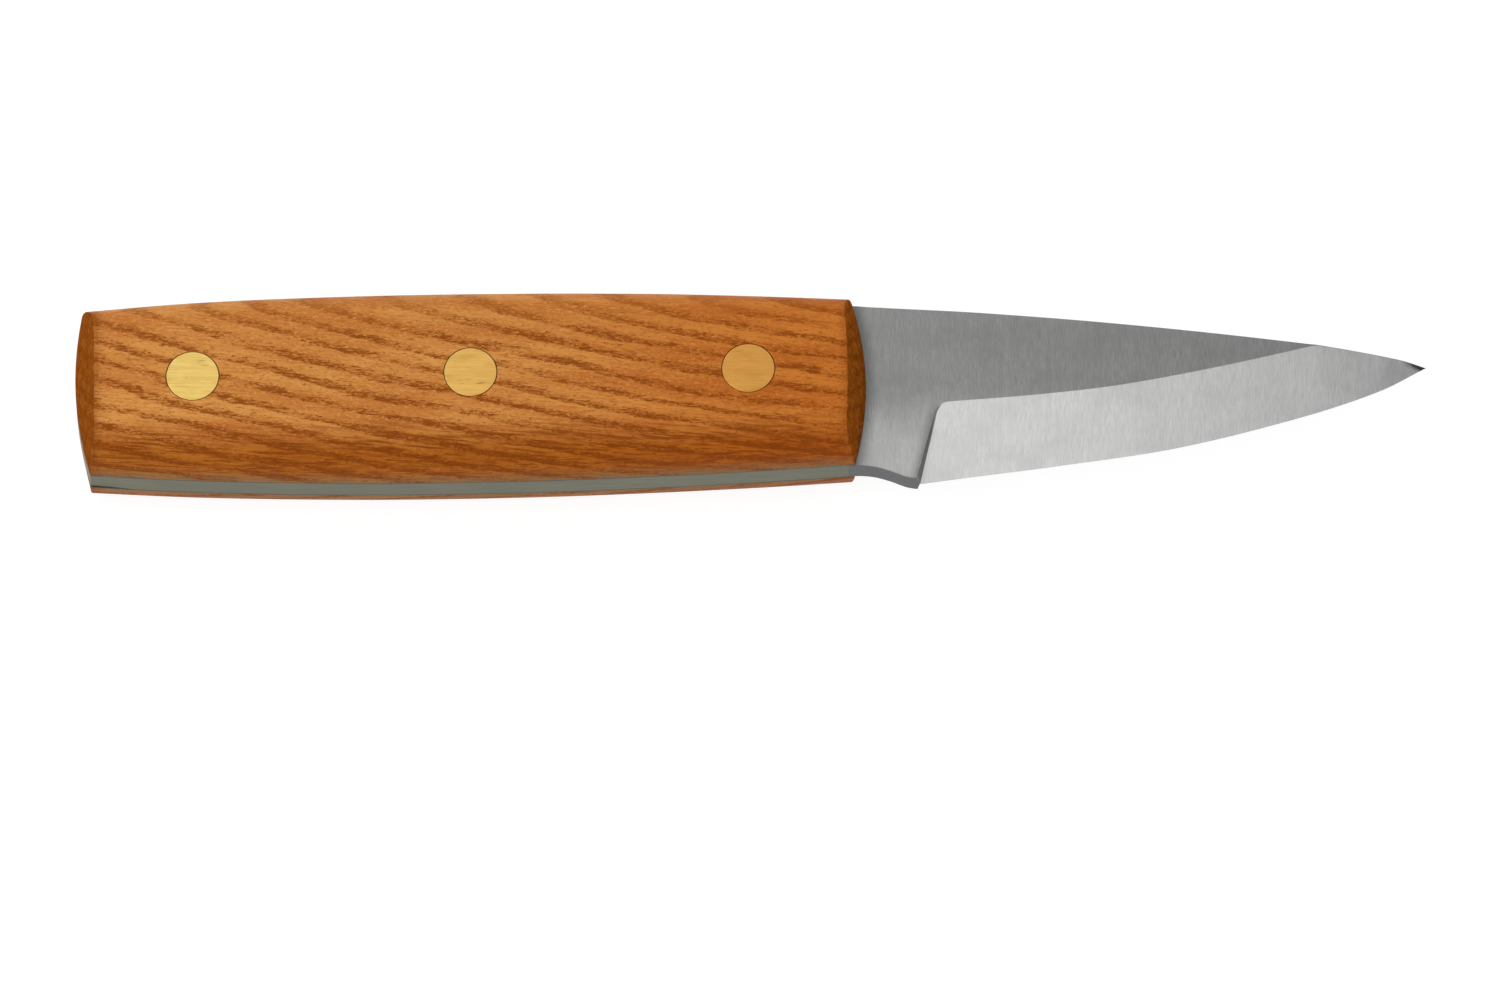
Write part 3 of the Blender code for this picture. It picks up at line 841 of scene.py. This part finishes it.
class KnifeFinishes(bpy.types.PropertyGroup):
    """Colours that a user may change"""

    flat_steel: FloatVectorProperty(
        name="Blade flats", description="Satin ground stainless steel", size=4,
        subtype="COLOR", min=0, max=1, default=linear("9D9D9B"))
    bevel_steel: FloatVectorProperty(
        name="Bevels", description="Freshly ground stainless steel", size=4,
        subtype="COLOR", min=0, max=1, default=linear("C2C2C0"))
    bare_edge: FloatVectorProperty(
        name="Spine and ricasso edge", description="Profiled edge of the blade", size=4,
        subtype="COLOR", min=0, max=1, default=linear("5C5C5E"))
    tang_edge: FloatVectorProperty(
        name="Tang edge", description="Tang sanded together with the wood", size=4,
        subtype="COLOR", min=0, max=1, default=linear("717160"))
    golden_wood: FloatVectorProperty(
        name="Light wood", description="Late wood", size=4, subtype="COLOR", min=0,
        max=1, default=linear("DE994E"))
    orange_wood: FloatVectorProperty(
        name="Warm wood", description="Warmer patches", size=4, subtype="COLOR", min=0,
        max=1, default=linear("C97C3A"))
    brown_wood: FloatVectorProperty(
        name="Early wood", description="Porous band of each ring", size=4,
        subtype="COLOR", min=0, max=1, default=linear("B46625"))
    pores: FloatVectorProperty(
        name="Pores", description="Oil and dust in the open pores", size=4,
        subtype="COLOR", min=0, max=1, default=linear("8A4208"))
    brass: FloatVectorProperty(
        name="Brass", description="Sanded brass rod", size=4, subtype="COLOR", min=0,
        max=1, default=linear("DDBE6E"))
    epoxy: FloatVectorProperty(
        name="Epoxy", description="Cured adhesive", size=4, subtype="COLOR", min=0,
        max=1, default=linear("3A2A18"))


# ---------------------------------------------------------------- operators

class KNIFE_OT_blade(bpy.types.Operator):
    """Make the ground blade with its tang"""

    bl_idname = "knife.blade"
    bl_label = "Blade and tang"

    def execute(self, context):
        finishes = context.scene.knife_finishes
        flat = ground_steel("satin_stainless_flat", tuple(finishes.flat_steel), 0.36,
                            0.0, True)
        bevel = ground_steel("satin_stainless_bevel", tuple(finishes.bevel_steel), 0.33,
                             4.0, False)
        bare = edge_steel("profiled_stainless_edge", tuple(finishes.bare_edge), 0.42)
        tang = edge_steel("sanded_tang_edge", tuple(finishes.tang_edge), 0.5)
        blade = blade_mesh([flat, bevel, bare, tang])
        drill_pin_holes(blade, (context.scene.knife_sizes.pin_radius
                                + context.scene.knife_sizes.pin_gap) / MM)
        blade.data.set_sharp_from_angle(angle=math.radians(7.5))
        finish_piece(blade, "stainless_steel", "blade_with_tang")
        return {"FINISHED"}


class KNIFE_OT_scales(bpy.types.Operator):
    """Make the two wooden scales"""

    bl_idname = "knife.scales"
    bl_label = "Wooden scales"

    def execute(self, context):
        sizes = context.scene.knife_sizes
        finishes = context.scene.knife_finishes
        colours = [tuple(c) for c in (finishes.golden_wood, finishes.orange_wood,
                                      finishes.brown_wood, finishes.pores)]
        inner = STEEL_HALF + sizes.glue_line / MM
        boards = (("upper_wood_scale", 1, "upper_scale", (0.0, 0.0, 0.0), 38.0),
                  ("lower_wood_scale", -1, "lower_scale", (200.0, 50.0, 30.0), -30.0))
        for name, side, node, shift, ring_tilt in boards:
            wood = oiled_wood("oiled_hardwood_" + node, colours, shift, ring_tilt)
            scale = handle_slab(name, inner, HANDLE_HALF, side, (96, 28, 14), wood)
            bevel = scale.modifiers.new("crease", "BEVEL")
            bevel.limit_method = "WEIGHT"
            bevel.width = sizes.crease_width
            bevel.segments = 4
            bevel.use_clamp_overlap = True
            bpy.context.view_layer.update()
            apply_modifiers(scale)
            drill_pin_holes(scale, (sizes.pin_radius + sizes.pin_gap) / MM)
            scale.data.shade_smooth()
            scale.data.set_sharp_from_angle(angle=math.radians(35))
            finish_piece(scale, "oiled_wood", node)
        return {"FINISHED"}


class KNIFE_OT_glue_films(bpy.types.Operator):
    """Make the adhesive between the tang and the scales"""

    bl_idname = "knife.glue_films"
    bl_label = "Glue films"

    def execute(self, context):
        sizes = context.scene.knife_sizes
        epoxy = cured_epoxy("dark_cured_epoxy", tuple(context.scene.knife_finishes.epoxy))
        inner = STEEL_HALF + 0.01
        outer = STEEL_HALF + sizes.glue_line / MM - 0.01
        for name, side, node in (("upper_glue_line", 1, "upper_glue_film"),
                                 ("lower_glue_line", -1, "lower_glue_film")):
            film = handle_slab(name, inner, outer, side, (96, 28, 1), epoxy)
            drill_pin_holes(film, (sizes.pin_radius + sizes.pin_gap) / MM)
            film.data.set_sharp_from_angle(angle=math.radians(35))
            finish_piece(film, "epoxy", node)
        return {"FINISHED"}


class KNIFE_OT_pins(bpy.types.Operator):
    """Make the row of brass pins"""

    bl_idname = "knife.pins"
    bl_label = "Brass pins"

    def execute(self, context):
        sizes = context.scene.knife_sizes
        brass = sanded_brass("sanded_brass_rod", tuple(context.scene.knife_finishes.brass))
        pins = bpy.data.objects.new("brass_pins", bpy.data.meshes.new("brass_pins"))
        context.scene.collection.objects.link(pins)
        nodes = pins.modifiers.new("pins", "NODES")
        nodes.node_group = pin_tree(brass)
        set_input(nodes, "Radius", sizes.pin_radius)
        set_input(nodes, "Length", HANDLE_HALF * 2 * MM)
        set_input(nodes, "Edge break", sizes.pin_edge_break)
        set_input(nodes, "Pitch", PIN_PITCH * MM)
        set_input(nodes, "Count", sizes.pin_count)
        set_input(nodes, "Height", MID_Z * MM)
        bpy.context.view_layer.update()
        apply_modifiers(pins, 20)
        finish_piece(pins, "brass", "butt_pin", "middle_pin", "front_pin")
        return {"FINISHED"}


def studio_floor():
    """A light table: matt white acrylic that also glows a little from below."""
    material, add, place = new_material("matt_white_acrylic")
    grain = pattern(add, place, (3.0, 3.0, 3.0))
    tint = layer(add, linear("757575"), linear("787878"), grain, 0.3, 0.7)
    set_shader(material, {"Base Color": tint, "Roughness": 0.9, "Specular IOR Level": 0.0,
                          "Emission Color": linear("FFFFFF"), "Emission Strength": 0.9})
    bm = bmesh.new()
    bmesh.ops.create_grid(bm, x_segments=1, y_segments=1, size=3.0)
    bmesh.ops.translate(bm, verts=bm.verts, vec=(0, 0, -0.05 * MM))
    mesh_object("light_table", bm, [material], 30)


def softbox(name, corner, width, height, turn, radiance, aim=None):
    """A flat panel light. Its near right corner, size and turn about Z are given."""
    light = bpy.data.lights.new(name, "AREA")
    light.shape = "RECTANGLE"
    light.size = width
    light.size_y = height
    light.energy = radiance * math.pi * width * height
    lamp = bpy.data.objects.new(name, light)
    bpy.context.scene.collection.objects.link(lamp)
    swing = Matrix.Rotation(math.radians(turn), 4, "Z")
    offset = swing @ Vector((-width / 2, 0, 0))
    lamp.location = Vector(corner) + offset
    lamp.rotation_euler = (0, 0, math.radians(turn))
    if aim:
        towards = Vector(aim) - lamp.location
        lamp.rotation_euler = towards.to_track_quat("-Z", "Y").to_euler()


def long_lens_camera():
    """Looks down on the side face from in front of the belly, 24 degrees off square."""
    elevation = math.radians(66.0)
    roll = math.radians(0.83)
    view_width = 181.2
    aim_right = 33.66
    aim_down = 12.49
    lens = 600.0
    sensor = 36.0
    looking = Vector((0, math.cos(elevation), -math.sin(elevation)))
    level_up = Vector((0, math.sin(elevation), math.cos(elevation)))
    up = level_up * math.cos(roll) + Vector((math.sin(roll), 0, 0))
    right = looking.cross(up).normalized()
    up = right.cross(looking)
    centre = Vector((0, 0, MID_Z)) + right * aim_right - up * aim_down
    camera_data = bpy.data.cameras.new("studio_camera")
    camera_data.lens = lens
    camera_data.sensor_width = sensor
    camera_data.clip_start = 0.01
    camera = bpy.data.objects.new("studio_camera", camera_data)
    bpy.context.scene.collection.objects.link(camera)
    turn = Matrix((right, up, -looking)).transposed().to_4x4()
    turn.translation = (centre - looking * lens * view_width / sensor) * MM
    camera.matrix_world = turn
    bpy.context.scene.camera = camera


class KNIFE_OT_stage(bpy.types.Operator):
    """Set the table top, the studio light and the camera"""

    bl_idname = "knife.stage"
    bl_label = "Table, light and camera"

    def execute(self, context):
        studio_floor()
        world = bpy.data.worlds.new("studio_air")
        world.use_nodes = True
        sky = world.node_tree.nodes["Background"]
        sky.inputs["Color"].default_value = linear("F4F6F8")
        sky.inputs["Strength"].default_value = 0.35
        context.scene.world = world
        softbox("overhead_softbox", (0.045, 0.17, 0.5), 0.95, 0.9, 33.0, 1.3)
        softbox("back_softbox", (0.25, 0.55, 0.3), 0.6, 0.25, 0.0, 1.2, (0.02, 0.0, 0.0))
        context.scene.view_settings.view_transform = "Standard"
        long_lens_camera()
        return {"FINISHED"}


class KNIFE_PT_panel(bpy.types.Panel):
    """Lists the knife's settings and the steps that make it"""

    bl_label = "Whittling knife"
    bl_idname = "KNIFE_PT_panel"
    bl_space_type = "VIEW_3D"
    bl_region_type = "UI"
    bl_category = "Knife"

    def draw(self, context):
        for group in (context.scene.knife_sizes, context.scene.knife_finishes):
            for name in group.bl_rna.properties.keys():
                if name not in ("rna_type", "name"):
                    self.layout.prop(group, name)
        for step in STEPS:
            self.layout.operator(step.bl_idname)


STEPS = (KNIFE_OT_stage, KNIFE_OT_blade, KNIFE_OT_scales, KNIFE_OT_glue_films,
         KNIFE_OT_pins)
CLASSES = (KnifeSizes, KnifeFinishes) + STEPS + (KNIFE_PT_panel,)


def register():
    """Adds the classes and the scene's settings."""
    for cls in CLASSES:
        bpy.utils.register_class(cls)
    bpy.types.Scene.knife_sizes = PointerProperty(type=KnifeSizes)
    bpy.types.Scene.knife_finishes = PointerProperty(type=KnifeFinishes)


def unregister():
    """Takes the settings and the classes away again."""
    del bpy.types.Scene.knife_finishes
    del bpy.types.Scene.knife_sizes
    for cls in reversed(CLASSES):
        bpy.utils.unregister_class(cls)


def main():
    """Makes every piece in turn."""
    register()
    bpy.ops.knife.stage()
    bpy.ops.knife.blade()
    bpy.ops.knife.scales()
    bpy.ops.knife.glue_films()
    bpy.ops.knife.pins()


if __name__ == "__main__":
    main()
